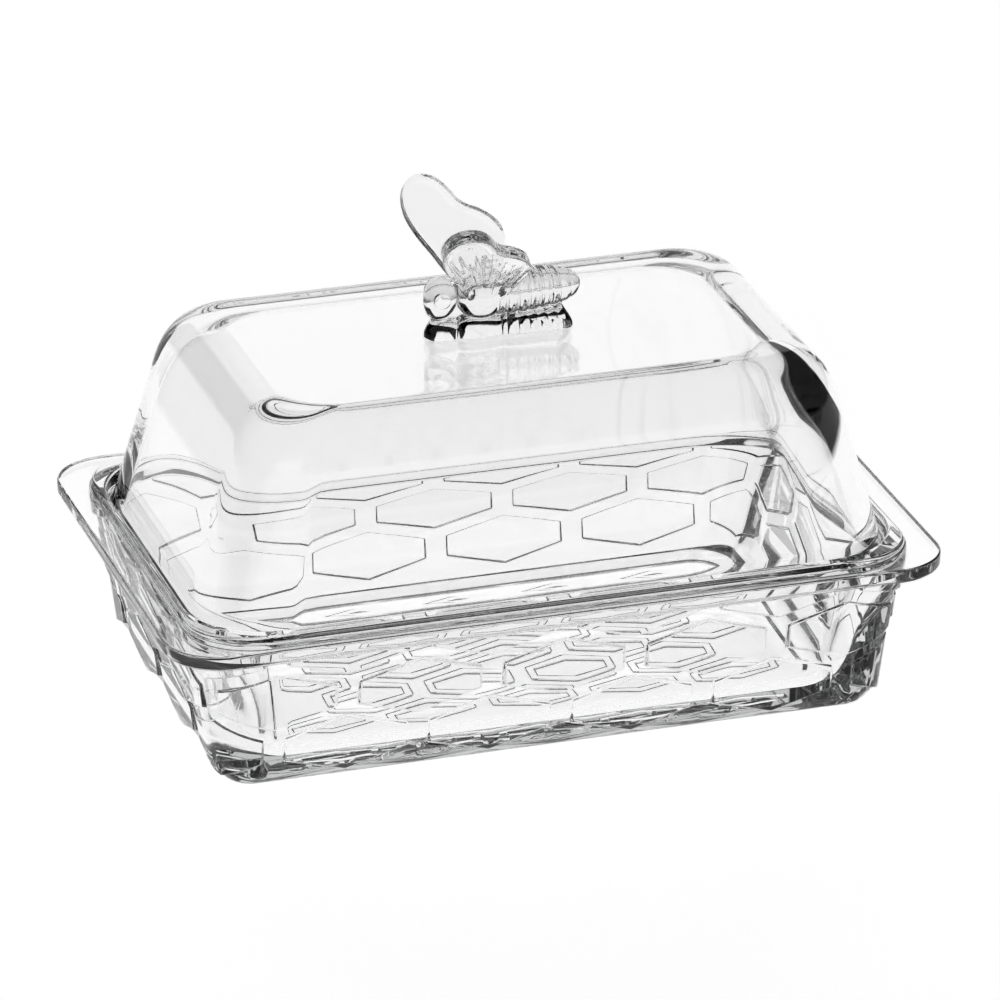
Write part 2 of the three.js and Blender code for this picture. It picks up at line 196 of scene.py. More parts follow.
class Shape:
    """Points and faces of one closed surface, in millimetres."""

    def __init__(self):
        self.points = []
        self.faces = []
        self.marks = []  # material index of each face

    def add(self, points):
        start = len(self.points)
        self.points.extend(tuple(float(v) for v in p) for p in points)
        return list(range(start, len(self.points)))

    def face(self, ids, mark=0):
        self.faces.append(tuple(ids))
        self.marks.append(mark)

    def band(self, lower, upper):
        """Faces between two loops of equal length."""
        n = len(lower)
        for j in range(n):
            k = (j + 1) % n
            self.face((lower[j], lower[k], upper[k], upper[j]))

    def tube(self, rings):
        """Joins rings of equal length and returns their point numbers."""
        ids = [self.add(ring) for ring in rings]
        for lower, upper in zip(ids, ids[1:]):
            self.band(lower, upper)
        return ids

    def fan(self, ids, upward):
        """Closes a flat loop from its middle."""
        middle = np.mean([self.points[i] for i in ids], axis=0)
        (centre,) = self.add([middle])
        for j, first in enumerate(ids):
            second = ids[(j + 1) % len(ids)]
            self.face((centre, first, second) if upward else (centre, second, first))

    def sheet(self, boundary, holes, z, upward, mark_inside=None):
        """Fills a flat outline. Holes stay open, unless mark_inside gives the filling's mark."""
        loops = [boundary] + holes
        ids = [i for loop in loops for i in loop]
        flat = [Vector(self.points[i][:2]) for i in ids]
        edges = []
        start = 0
        for loop in loops:
            n = len(loop)
            edges.extend((start + j, start + (j + 1) % n) for j in range(n))
            start += n
        verts, _, faces, origins, _, _ = delaunay_2d_cdt(flat, edges, [], 1, 1e-4)
        number = []
        for vert, origin in zip(verts, origins):
            number.append(ids[origin[0]] if origin else self.add([(vert.x, vert.y, z)])[0])
        outlines = [np.array([self.points[i][:2] for i in loop]) for loop in holes]
        for f in faces:
            middle = sum((verts[i] for i in f), Vector((0, 0))) / len(f)
            inside = any(inside_outline(outline, middle.x, middle.y) for outline in outlines)
            if inside and mark_inside is None:
                continue
            a, b, c = (verts[i] for i in f)
            counter = (b - a).cross(c - a) > 0
            order = [number[i] for i in (f if counter == upward else reversed(f))]
            self.face(order, mark_inside if inside else 0)

    def build(self, name, materials):
        """Makes the object, in metres."""
        mesh = bpy.data.meshes.new(name)
        mesh.from_pydata([tuple(v * MM for v in p) for p in self.points], [], self.faces)
        mesh.polygons.foreach_set("use_smooth", [True] * len(self.faces))
        for material in materials:
            mesh.materials.append(material)
        mesh.polygons.foreach_set("material_index", self.marks)
        mesh.update()
        piece = bpy.data.objects.new(name, mesh)
        bpy.context.scene.collection.objects.link(piece)
        return piece


def inside_outline(outline, x, y):
    """Whether a point is inside a closed outline."""
    x0, y0 = outline[:, 0], outline[:, 1]
    x1, y1 = np.roll(x0, -1), np.roll(y0, -1)
    crosses = (y0 > y) != (y1 > y)
    with np.errstate(divide="ignore", invalid="ignore"):
        at = x0 + (y - y0) / (y1 - y0) * (x1 - x0)
    return bool(np.sum(crosses & (x < at)) % 2)


# ---- Materials ----

def glass(name, roughness, wave_size, wave_height, density):
    """Clear glass, with faint waves in its surface and in its polish.

    The waves' size and height are in millimetres; the density is of the tint, per metre.
    """
    material = bpy.data.materials.new(name)
    material.use_nodes = True
    nodes, links = material.node_tree.nodes, material.node_tree.links
    shader = nodes["Principled BSDF"]
    shader.inputs["Base Color"].default_value = (1, 1, 1, 1)
    shader.inputs["Transmission Weight"].default_value = 1
    shader.inputs["IOR"].default_value = GLASS_IOR
    place = nodes.new("ShaderNodeTexCoord")
    polish = nodes.new("ShaderNodeTexNoise")
    polish.inputs["Scale"].default_value = POLISH_SCALE
    links.new(place.outputs["Object"], polish.inputs["Vector"])
    spread = nodes.new("ShaderNodeMapRange")
    spread.inputs["From Min"].default_value = POLISH_RANGE[0]
    spread.inputs["From Max"].default_value = POLISH_RANGE[1]
    spread.inputs["To Min"].default_value = 0
    spread.inputs["To Max"].default_value = roughness
    links.new(polish.outputs["Fac"], spread.inputs["Value"])
    links.new(spread.outputs["Result"], shader.inputs["Roughness"])
    waves = nodes.new("ShaderNodeTexNoise")
    waves.inputs["Scale"].default_value = 1 / (wave_size * MM)
    waves.inputs["Detail"].default_value = 1
    links.new(place.outputs["Object"], waves.inputs["Vector"])
    bump = nodes.new("ShaderNodeBump")
    bump.inputs["Strength"].default_value = 1
    bump.inputs["Distance"].default_value = wave_height * MM
    links.new(waves.outputs["Fac"], bump.inputs["Height"])
    links.new(bump.outputs["Normal"], shader.inputs["Normal"])
    depth = nodes.new("ShaderNodeVolumeAbsorption")
    depth.inputs["Color"].default_value = GLASS_TINT
    depth.inputs["Density"].default_value = density
    links.new(depth.outputs["Volume"], nodes["Material Output"].inputs["Volume"])
    return material


def bond():
    """Where two glass pieces are fused there is no surface to see."""
    material = bpy.data.materials.new("fused_glass")
    material.use_nodes = True
    nodes, links = material.node_tree.nodes, material.node_tree.links
    nodes.remove(nodes["Principled BSDF"])
    clear = nodes.new("ShaderNodeBsdfTransparent")
    links.new(clear.outputs["BSDF"], nodes["Material Output"].inputs["Surface"])
    return material


base_glass = glass("pressed_glass", 0.012, 16, 0.008, density=5)
lid_glass = glass("polished_glass", 0.008, 24, 0.010, density=3)
knob_glass = glass("knob_glass", 0.02, 3, 0.006, density=8)
fused_glass = bond()


# ---- The base ----

def wall_offset(z):
    """Distance of the plain wall from its core, at a height."""
    from_top = np.maximum(0, FOOT_HEIGHT - z) / FOOT_HEIGHT
    return WALL_FOOT + WALL_DRAFT * z - FOOT_DEPTH * from_top ** 2


CORNER_ARC = wall_offset(ROW_CENTRES[1]) * math.pi / 2
TO_CORNER_HEX = HALF_PITCH * HALF_PITCHES
QUARTER_LENGTH = CORE_X + CORNER_ARC + CORE_Y
SHORT_HALF_PITCH = (QUARTER_LENGTH - TO_CORNER_HEX) / HALF_PITCHES


def quarter_parameter(h):
    """A place in half pitches from the middle of a long wall, as a ring's t in its quarter."""
    past = h - HALF_PITCHES
    travelled = h * HALF_PITCH if past < 0 else TO_CORNER_HEX + past * SHORT_HALF_PITCH
    from_end = QUARTER_LENGTH - travelled
    if from_end < CORE_Y:
        return from_end / CORE_Y
    if from_end < CORE_Y + CORNER_ARC:
        return 1 + (from_end - CORE_Y) / CORNER_ARC
    return 3 - travelled / CORE_X


def wall_columns():
    """Columns round the wall: close together at the hexagons' sides."""
    in_gap = [0.0, 1.3]
    at_edge = [SIDE_EDGE + line for line, _ in STEP_LINES]
    in_hexagon = [4.4, 5.8, 7.3, HALF_PITCH / 2]
    shifts = in_gap + at_edge + in_hexagon
    signed = sorted({round(s * sign, 6) for s in shifts for sign in (-1, 1)})
    quarter = []
    for node in range(2 * HALF_PITCHES + 1):
        for shift in signed[1:]:
            h = node + shift / HALF_PITCH
            if 0 <= h <= 2 * HALF_PITCHES:
                quarter.append(h)
    columns = []
    for side in range(4):
        for h in quarter:
            on_axis = h in (0, 2 * HALF_PITCHES)
            if on_axis and (h == 0) == (side % 2 == 1):
                continue
            w = quarter_parameter(h)
            columns.append(((3 * side + (3 - w if side % 2 else w)) % 12, h))
    columns.sort()
    return np.array([t for t, _ in columns]), np.array([h for _, h in columns])


COLUMN_T, COLUMN_H = wall_columns()
ZIG = 2 * np.abs(COLUMN_H - 2 * np.round(COLUMN_H / 2)) - 1


def wall_ring(z, relief=0.0):
    """A ring on the wall, whose height and relief may change from column to column."""
    z = np.broadcast_to(z, COLUMN_T.shape)
    points = np.zeros((len(COLUMN_T), 3))
    offsets = wall_offset(z) + relief
    for i, t in enumerate(COLUMN_T):
        points[i] = ring_points(core_size(offsets[i]), np.array([t]), z[i])[0]
    return points


def row_rings(row):
    """Rings over one row of hexagons, from the step under it to the step above it."""
    sign = 1 if row % 2 else -1
    middle = ROW_CENTRES[row]
    lower = middle - ROW_PITCH / 2 + sign * ZIGZAG * ZIG + SLANT_GAP
    upper = middle + ROW_PITCH / 2 - sign * ZIGZAG * ZIG - SLANT_GAP
    from_gap = np.abs(sign * ZIG - 1) / 2 * HALF_PITCH
    across = np.interp(from_gap - SIDE_EDGE, [p for p, _ in STEP_LINES], [v for _, v in STEP_LINES])
    last = row == len(ROW_CENTRES) - 1
    top = np.full_like(lower, FLANGE_BOTTOM - 1.2) if last else upper
    lines = [(lower + place, value) for place, value in STEP_LINES]
    first_inside, last_inside = lower + STEP_LINES[-1][0], top - (0 if last else STEP_LINES[-1][0])
    lines += [(first_inside + (last_inside - first_inside) * i / 5, 1.0) for i in range(1, 5)]
    if last:
        lines.append((top, 1.0))
    else:
        lines += [(upper - place, value) for place, value in reversed(STEP_LINES)]
    lowest = middle - ROW_PITCH / 2 - ZIGZAG + SLANT_GAP
    highest = middle + ROW_PITCH / 2 + ZIGZAG - SLANT_GAP
    rings = []
    for z, value in lines:
        amount = np.clip((z - lowest) / (highest - lowest), 0, 1)
        tall = RELIEF_BOTTOM + (RELIEF_TOP - RELIEF_BOTTOM) * amount
        rings.append(wall_ring(z, tall * across * value))
    return rings


def base_profile():
    """Sizes and heights from the wall's top over the flange and the ridge into the well."""
    steps = 5
    wall_top = core_size(wall_offset(FLANGE_BOTTOM))
    profile = [(core_size(wall_offset(FLANGE_BOTTOM - 0.9)), FLANGE_BOTTOM - 0.9)]
    profile += corner(core_size(wall_offset(FLANGE_BOTTOM - 0.7)), FLANGE_BOTTOM - 0.7,
                      grow(wall_top, 0.8), FLANGE_BOTTOM, steps, False)[1:]
    edge = FLANGE_LOWER_CORNER
    profile.append((grow(FLANGE, -edge - 0.3), FLANGE_BOTTOM))
    profile += corner(grow(FLANGE, -edge), FLANGE_BOTTOM, FLANGE, FLANGE_BOTTOM + edge, steps, True)
    top_edge = FLANGE_UPPER_CORNER
    profile += corner(FLANGE, FLANGE_TOP - top_edge, grow(FLANGE, -top_edge), FLANGE_TOP, steps,
                      False)
    profile.append((grow(FLANGE, -top_edge - 0.3), FLANGE_TOP))
    foot = core_size(RIDGE_FOOT)
    profile.append((grow(foot, 0.9), FLANGE_TOP))
    profile += corner(grow(foot, 0.5), FLANGE_TOP, foot, FLANGE_TOP + 0.5, 4, True)
    crest = RIDGE_CREST
    profile += corner(grow(foot, -0.1), RIDGE_TOP_Z - crest, grow(foot, -0.1 - crest), RIDGE_TOP_Z,
                      steps, False)
    inside = grow(RIDGE_INSIDE, crest)
    profile += corner(inside, RIDGE_TOP_Z, RIDGE_INSIDE, RIDGE_TOP_Z - crest, steps, True)
    profile.append((RIDGE_INSIDE, LEDGE_Z + 0.6))
    profile += corner(RIDGE_INSIDE, LEDGE_Z + 0.4, grow(RIDGE_INSIDE, -0.4), LEDGE_Z, 4, False)
    profile.append((grow(RIDGE_INSIDE, -0.7), LEDGE_Z))
    lip = WELL_LIP
    profile.append((grow(WELL_TOP, lip + 0.25), LEDGE_Z))
    profile += corner(grow(WELL_TOP, lip), LEDGE_Z, WELL_TOP, LEDGE_Z - lip, steps, True)
    profile.append((mix_size(WELL_TOP, WELL_BOTTOM, 0.02), LEDGE_Z - lip - 0.5))
    for i in range(1, 6):
        amount = 0.02 + 0.98 * i / 6
        profile.append((mix_size(WELL_TOP, WELL_BOTTOM, amount),
                        LEDGE_Z - lip - 0.5 + (WELL_BOTTOM_Z - LEDGE_Z + lip + 0.5) * i / 6))
    slope = (WELL_TOP["a"] - WELL_BOTTOM["a"]) / (LEDGE_Z - lip - WELL_BOTTOM_Z)
    bend = grow(WELL_BOTTOM, -slope * (WELL_BOTTOM_Z - FLOOR_Z))
    for i in range(13):
        s = i / 12
        size = mix_size(mix_size(WELL_BOTTOM, bend, s), mix_size(bend, FLOOR_HALF, s), s)
        profile.append((size, WELL_BOTTOM_Z + (FLOOR_Z - WELL_BOTTOM_Z) * (2 * s - s * s)))
    profile.append((grow(FLOOR_HALF, -0.8), FLOOR_Z))
    return profile


def hexagon(x, y, inset):
    """Points round a small hexagon, close to its corners, with its sides moved in."""
    wide, high = 1 - inset / HEX_HALF, 1 - inset / HEX_APEX
    corners = [(HEX_HALF, -HEX_SIDE), (HEX_HALF, HEX_SIDE), (0, HEX_APEX),
               (-HEX_HALF, HEX_SIDE), (-HEX_HALF, -HEX_SIDE), (0, -HEX_APEX)]
    points = []
    for (x0, y0), (x1, y1) in zip(corners, corners[1:] + corners[:1]):
        for s in (0.03, 0.35, 0.65, 0.97):
            points.append((x + wide * (x0 + (x1 - x0) * s), y + high * (y0 + (y1 - y0) * s)))
    return points


def base_underside(shape, boundary):
    """The floor's underside: a recess whose bottom carries small hexagonal ribs."""
    deep = RECESS_DEPTH + RIB_HEIGHT
    rib = RIB_LINES + [(RIB_WIDTH - place, amount) for place, amount in reversed(RIB_LINES)]
    holes = []
    for row in range(-HEX_ROWS, HEX_ROWS + 1):
        shift = 0 if row % 2 else HEX_PITCH / 2
        for column in range(-3, 4):
            x = column * HEX_PITCH + shift
            if abs(x) + HEX_HALF > RECESS["a"] - 1.5:
                continue
            y = row * HEX_ROW_PITCH
            loops = []
            for inset, amount in rib:
                z = deep - RIB_HEIGHT * amount
                loops.append(shape.add((px, py, z) for px, py in hexagon(x, y, inset)))
            for outer, inner in zip(loops, loops[1:]):
                shape.band(inner, outer)
            shape.fan(loops[-1], upward=False)
            holes.append(loops[0])
    shape.sheet(boundary, holes, deep, upward=False)


def make_base():
    """The base, from the recess under its floor out and up the wall, and down into the well."""
    shape = Shape()
    rings = []
    deep = RECESS_DEPTH + RIB_HEIGHT
    recess_side = [(-1.7, deep), (-1.5, deep), (-1.3, deep - 0.1), (-0.4, 0.12), (-0.1, 0.02),
                   (0.2, 0)]
    for wider, z in recess_side:
        rings.append(ring_points(grow(RECESS, wider), COLUMN_T, z))
    foot = wall_offset(0)
    rings.append(ring_points(core_size(foot - 0.6), COLUMN_T, 0))
    rings.append(ring_points(core_size(foot - 0.3), COLUMN_T, 0))
    rings.append(ring_points(core_size(foot + 0.05), COLUMN_T, 0.08))
    for z in (0.3, 0.6, 0.9, 1.3):
        rings.append(wall_ring(z))
    first = row_rings(0)
    rings.append((rings[-1] + first[0]) / 2)
    rings += first
    for row in range(1, len(ROW_CENTRES)):
        above = row_rings(row)
        rings.append((rings[-1] + above[0]) / 2)
        rings += above
    for size, z in base_profile():
        rings.append(ring_points(size, COLUMN_T, z))
    ids = shape.tube(rings)
    shape.fan(ids[-1], upward=True)
    base_underside(shape, ids[0])
    return shape.build("honeycomb_base", [base_glass])


# ---- The bee knob ----

def lathe(profile, centre_z=BEE_AXIS, sides=40):
    """A closed round part along X, from (x, radius) pairs that start and end on the axis."""
    shape = Shape()
    turns = np.arange(sides) / sides * 2 * math.pi
    rings = []
    for x, radius in profile[1:-1]:
        rings.append(np.stack([np.full(sides, x), radius * np.cos(turns),
                               centre_z + radius * np.sin(turns)], axis=1))
    ids = shape.tube(rings)
    for loop, (x, _) in ((ids[0], profile[0]), (ids[-1], profile[-1])):
        (tip,) = shape.add([(x, 0, centre_z)])
        for j, first in enumerate(loop):
            second = loop[(j + 1) % sides]
            shape.face((tip, second, first) if loop is ids[0] else (tip, first, second))
    return shape


def oval(centre, half, radius, steps=24):
    """The profile of an ellipsoid along X."""
    angles = [math.pi * i / steps for i in range(steps + 1)]
    return [(centre - half * math.cos(v), radius * math.sin(v)) for v in angles]


def abdomen_profile():
    """Rounded rings that narrow to a pointed tail."""
    profile = [(-1, 0)]
    steps = 8
    for i in range(ABDOMEN_RINGS * steps):
        x = -0.5 + i * RING_LENGTH / steps
        taper = ABDOMEN_RADIUS * math.sqrt(1 - ((x - 4) / 19) ** 2)
        groove = (1 - abs(math.sin(math.pi * (i / steps + 0.02)))) ** 3
        profile.append((x, taper - RING_GROOVE * groove))
    tail_x, tail_radius = profile[-1]
    for i in range(1, 12):
        u = i / 12
        profile.append((tail_x + TAIL_LENGTH * u, tail_radius * (1 - u * u) ** 0.8))
    profile.append((tail_x + TAIL_LENGTH, 0))
    return profile


def curve_through(points, per_span=10):
    """A closed smooth outline through points (Catmull-Rom)."""
    p = np.array(points, float)
    out = []
    for i in range(len(p)):
        p0, p1, p2, p3 = p[i - 1], p[i], p[(i + 1) % len(p)], p[(i + 2) % len(p)]
        for k in range(per_span):
            s = k / per_span
            out.append(0.5 * (2 * p1 + (p2 - p0) * s + (2 * p0 - 5 * p1 + 4 * p2 - p3) * s ** 2
                              + (3 * p1 - p0 - 3 * p2 + p3) * s ** 3))
    return np.array(out)


def plinth():
    """The bee's outline as a foot whose scalloped sides lean in towards the top."""
    points = PLINTH_OUTLINE + [(x, -y) for x, y in reversed(PLINTH_OUTLINE[:-1])]
    outline = curve_through(points, 16)
    rear = np.clip((outline[:, 0] - 0.5) / 2, 0, 1) * np.clip((17.5 - outline[:, 0]) / 1.5, 0, 1)
    groove = (1 - np.abs(np.sin(math.pi * (outline[:, 0] + 0.5) / RING_LENGTH))) ** 2
    outline[:, 1] *= 1 - 0.1 * rear * groove
    shape = Shape()
    rings = []
    for inset, z in PLINTH_SIDES:
        ring = outline * (1 - inset / PLINTH_HALF_LENGTH, 1 - inset / PLINTH_HALF_WIDTH)
        rings.append(np.column_stack([ring, np.full(len(ring), z)]))
    ids = shape.tube(rings)
    shape.fan(ids[0], upward=False)
    shape.fan(ids[-1], upward=True)
    return shape


def web():
    """The narrow glass between the plinth and the body."""
    shape = Shape()
    size = dict(a=14.5, b=2.5, r=2.4)
    t = np.array([3 * q + 1 + i / 8 for q in range(4) for i in range(9)])
    middle = np.array([0.8, 0, 0])
    rings = [ring_points(size, t, z) + middle for z in (PLINTH_HEIGHT - 1, BEE_AXIS + 1)]
    ids = shape.tube(rings)
    shape.fan(ids[0], upward=False)
    shape.fan(ids[-1], upward=True)
    return shape


# Along the body and up the lean, from the root round the tip to the hind wing's lobe.
WING_OUTLINE = [(-5.6, -1.0), (-7.6, 1.6), (-9.9, 5.0), (-12.4, 9.6), (-15.6, 15.2), (-17.4, 20.0),
                (-17.5, 24.6), (-15.8, 28.0), (-12.8, 29.4), (-9.8, 28.8), (-7.4, 27.0),
                (-5.6, 24.6), (-4.2, 22.4), (-2.4, 20.9), (0.6, 19.4), (3.4, 17.2), (5.2, 14.4),
                (5.5, 11.6), (4.2, 8.0), (2.6, 4.4), (1.4, 1.2), (0.6, -1.0)]
WING_NOTCH = (-4.2, 22.4)
WING_HINGE = (-3.0, 0.0)
RIM_HALF, RIM_CORNER = 1.75, 0.3  # half the rim's thickness, and its corner radius
FIELD_HALF = 1.5  # half the thickness inside the rim


def wing_thickness(x, v, from_edge):
    """A plate, thick at its square rim, with a ridge to the notch and fine fanned veins inside."""
    dx, dv = x - WING_HINGE[0], v - WING_HINGE[1] + 2
    angle = math.atan2(dx, dv)
    radius = math.hypot(dx, dv)
    ridge_angle = math.atan2(WING_NOTCH[0] - WING_HINGE[0], WING_NOTCH[1] - WING_HINGE[1] + 2)
    ridge = 0.3 * math.exp(-((angle - ridge_angle) * radius / 0.7) ** 2)
    inside = min(1.0, max(0.0, (from_edge - 3) / 1.2)) * min(1.0, radius / 9)
    veins = 0.1 * math.cos(angle * 40) * inside
    root = 0.8 * math.exp(-(v / 5) ** 2)
    turned = max(0.0, RIM_CORNER - from_edge)
    rim = RIM_HALF - RIM_CORNER + math.sqrt(RIM_CORNER ** 2 - turned ** 2)
    share = 0.5 - 0.5 * math.cos(math.pi * min(1.0, max(0.0, (from_edge - 0.9) / 1.4)))
    return rim + (FIELD_HALF + ridge + veins + root - rim) * share


def wing(side):
    """One wing, leaning out from the back. side is 1 for +Y and -1 for -Y."""
    outline = curve_through(WING_OUTLINE, 8)
    ends = np.roll(outline, -1, axis=0)
    spacing = 0.42
    inner = []
    for x in np.arange(outline[:, 0].min(), outline[:, 0].max(), spacing):
        for v in np.arange(outline[:, 1].min(), outline[:, 1].max(), spacing):
            if inside_outline(outline, x, v) and edge_distance(outline, ends, x, v) > 0.18:
                inner.append((x, v))
    flat = [Vector(p) for p in outline] + [Vector(p) for p in inner]
    n = len(outline)
    edges = [(i, (i + 1) % n) for i in range(n)]
    verts, _, faces, _, _, _ = delaunay_2d_cdt(flat, edges, [], 1, 1e-5)
    shape = Shape()
    lean = np.array([0, side * math.sin(WING_LEAN), math.cos(WING_LEAN)])
    out = np.array([0, side * math.cos(WING_LEAN), -math.sin(WING_LEAN)])
    root = np.array([0, side * WING_ROOT, BEE_AXIS])
    along = np.array([1.0, 0, 0])
    front, back = [], []
    for p in verts:
        distance = edge_distance(outline, ends, p.x, p.y)
        place = root + along * p.x + lean * p.y
        half = wing_thickness(p.x, p.y, distance)
        front.append(shape.add([place + out * half])[0])
        back.append(shape.add([place - out * half])[0])
    border = set()
    for a, b, c in faces:
        if inside_outline(outline, *((verts[a] + verts[b] + verts[c]) / 3)):
            shape.face((front[a], front[b], front[c]))
            shape.face((back[a], back[c], back[b]))
            for first, second in ((a, b), (b, c), (c, a)):
                if (second, first) in border:
                    border.discard((second, first))
                else:
                    border.add((first, second))
    for first, second in sorted(border):
        shape.face((front[second], front[first], back[first], back[second]))
    return shape


def edge_distance(starts, ends, x, v):
    """Distance of a point from the nearest of the straight edges between starts and ends."""
    p = np.array([x, v])
    span = ends - starts
    lengths = np.maximum(np.sum(span * span, axis=1), 1e-12)
    s = np.clip(np.sum((p - starts) * span, axis=1) / lengths, 0, 1)
    near = starts + span * s[:, None]
    return float(np.sqrt(np.min(np.sum((p - near) ** 2, axis=1))))


def eye(side):
    """A low disc on one side of the head."""
    shape = lathe(EYE_DISC, centre_z=0, sides=32)
    for i, (x, y, z) in enumerate(shape.points):
        shape.points[i] = (y + EYE_X, side * (x + EYE_SIDE), z + BEE_AXIS + EYE_RAISE)
    if side > 0:
        shape.faces = [tuple(reversed(f)) for f in shape.faces]
    return shape


def head():
    """An egg, wide at the brow and narrow at the chin."""
    shape = lathe(oval(HEAD_X, HEAD_HALF, HEAD_RADIUS))
    for i, (x, y, z) in enumerate(shape.points):
        up = (z - BEE_AXIS) / HEAD_RADIUS
        shape.points[i] = (x + 0.5 * min(0, up), y * (1 + 0.16 * up), BEE_AXIS + 5.2 * up - 0.3)
    return shape


def make_bee():
    """The bee in one skin, cut flat at its foot. Also returns the outline of its foot."""
    thorax = lathe(oval(THORAX_X, THORAX_HALF, THORAX_RADIUS))
    parts = [plinth(), web(), head(), eye(1), eye(-1), thorax, lathe(abdomen_profile()), wing(1),
             wing(-1)]
    whole = bmesh.new()
    for part in parts:
        piece = part.build("bee_part", [])
        bm = bmesh.new()
        bm.from_mesh(piece.data)
        bmesh.ops.recalc_face_normals(bm, faces=bm.faces)
        bm.to_mesh(piece.data)
        bm.free()
        whole.from_mesh(piece.data)
        bpy.data.objects.remove(piece)
    mesh = bpy.data.meshes.new("bee")
    whole.to_mesh(mesh)
    whole.free()
    piece = bpy.data.objects.new("bee", mesh)
    bpy.context.scene.collection.objects.link(piece)
    remesh = piece.modifiers.new("one_surface", "REMESH")
    remesh.mode = "VOXEL"
    remesh.voxel_size = VOXEL * MM
    smooth = piece.modifiers.new("fire_polish", "SMOOTH")
    smooth.factor = 0.5
    smooth.iterations = 2
    graph = bpy.context.evaluated_depsgraph_get()
    final = bpy.data.meshes.new_from_object(piece.evaluated_get(graph))
    bpy.data.objects.remove(piece)
    bm = bmesh.new()
    bm.from_mesh(final)
    foot = BOND_GAP * MM
    everything = bm.verts[:] + bm.edges[:] + bm.faces[:]
    cut = bmesh.ops.bisect_plane(bm, geom=everything, plane_co=(0, 0, foot), plane_no=(0, 0, -1),
                                 clear_outer=True)
    rim = [e for e in cut["geom_cut"] if isinstance(e, bmesh.types.BMEdge)]
    loop = ordered_loop(rim)
    face = bm.faces.new(loop)
    face.normal_update()
    if face.normal.z > 0:
        face.normal_flip()
    face.material_index = 1
    for v in bm.verts:
        v.co.z += LID_TOP_Z * MM
    outline = [(v.co.x / MM, v.co.y / MM) for v in loop]
    bmesh.ops.triangulate(bm, faces=[face])
    for f in bm.faces:
        f.smooth = True
    for v in loop:
        for e in v.link_edges:
            if len(e.link_faces) == 2 and {f.material_index for f in e.link_faces} == {0, 1}:
                e.smooth = False
    bm.to_mesh(final)
    bm.free()
    final.name = "glass_bee"
    final.materials.clear()
    final.materials.append(knob_glass)
    final.materials.append(fused_glass)
    piece = bpy.data.objects.new("glass_bee", final)
    bpy.context.scene.collection.objects.link(piece)
    return piece, outline


def ordered_loop(edges):
    """The corners of the longest closed loop among edges, in order."""
    links = {}
    for e in edges:
        for v in e.verts:
            links.setdefault(v, []).append(e.other_vert(v))
    loops = []
    unseen = set(links)
    while unseen:
        start = next(iter(sorted(unseen, key=lambda v: v.index)))
        loop = [start]
        unseen.discard(start)
        while True:
            ahead = [v for v in links[loop[-1]] if v in unseen]
            if not ahead:
                break
            loop.append(ahead[0])
            unseen.discard(ahead[0])
        loops.append(loop)
    return max(loops, key=len)


# ---- The lid ----

def lid_slope(z):
    """Size of the sloping wall at a height."""
    return mix_size(LID_BOTTOM, LID_SHOULDER, (z - LID_Z) / (SHOULDER_Z - LID_Z))


def lid_outside():
    """Sizes and heights up the wall and round into the roof."""
    out = []
    for i in range(9):
        z = LID_Z + LID_EDGE + (ROUND_START_Z - LID_Z - LID_EDGE) * i / 9
        out.append((lid_slope(z), z))
    steps = 20
    start = lid_slope(ROUND_START_Z)
    ahead = lid_slope(ROUND_START_Z + ROUND_RISE)
    toward = grow(LID_FLAT, ROUND_PULL)
    pulls = (start, ahead, toward, LID_FLAT)
    for i in range(steps + 1):
        s = i / steps
        weights = ((1 - s) ** 3, 3 * s * (1 - s) ** 2, 3 * s * s * (1 - s), s ** 3)
        size = {k: sum(w * p[k] for w, p in zip(weights, pulls)) for k in start}
        levels = (ROUND_START_Z, ROUND_START_Z + ROUND_RISE, LID_TOP_Z, LID_TOP_Z)
        z = sum(w * level for w, level in zip(weights, levels))
        out.append((size, z))
    out.append((grow(LID_FLAT, -0.8), LID_TOP_Z))
    return out


def lid_inside():
    """Sizes and heights up the inside of the wall, and along a full curve to the ceiling."""
    out = []
    for i in range(4):
        z = LID_Z + LID_EDGE + (CURVE_START_Z - LID_Z - LID_EDGE) * i / 4
        size = grow(lid_slope(z), -LID_WALL)
        size["r"] += CORNER_FILL
        out.append((size, z))
    rise = CEILING_Z - CURVE_START_Z
    heights = [CURVE_SPLIT * i / 10 for i in range(11)]
    insets = [1 - (1 - s ** 3) ** (1 / 3) for s in heights]
    for i in range(1, 13):
        inset = insets[10] + (1 - insets[10]) * i / 12
        insets.append(inset)
        heights.append((1 - (1 - inset) ** 3) ** (1 / 3))
    for s, inset in zip(heights, insets):
        size = grow(lid_slope(CURVE_START_Z + rise * s), -LID_WALL)
        size["r"] += CORNER_FILL
        size = {k: size[k] - CURVE_INSET * inset * (0.1 if k == "r" else 1) for k in size}
        out.append((size, CURVE_START_Z + rise * s))
    out.append((grow(out[-1][0], -0.8), CEILING_Z))
    return out


def make_lid(bee_outline):
    """The lid, from its ceiling down, round its bottom edge and up to the roof."""
    shape = Shape()
    straight, arc = 20, 24
    t = []
    for quarter in range(4):
        start = 3 * quarter
        t += [start + i / straight for i in range(straight)]
        t += [start + 1 + i / arc for i in range(arc)]
        t += [start + 2 + i / straight for i in range(straight)]
    t = np.array(t)
    inner = grow(LID_BOTTOM, -LID_WALL)
    inner["r"] += CORNER_FILL
    edge = corner(inner, LID_Z + LID_EDGE, grow(inner, LID_EDGE), LID_Z, 6, False)[1:]
    edge += corner(grow(LID_BOTTOM, -LID_EDGE), LID_Z, LID_BOTTOM, LID_Z + LID_EDGE, 6, True)[:-1]
    profile = list(reversed(lid_inside())) + edge + lid_outside()
    rings = [ring_points(size, t, z) for size, z in profile]
    ids = shape.tube(rings)
    shape.fan(ids[0], upward=False)
    patch = shape.add((x, y, LID_TOP_Z) for x, y in bee_outline)
    shape.sheet(ids[-1], [patch], LID_TOP_Z, upward=True, mark_inside=1)
    return shape.build("lid_shell", [lid_glass, fused_glass])


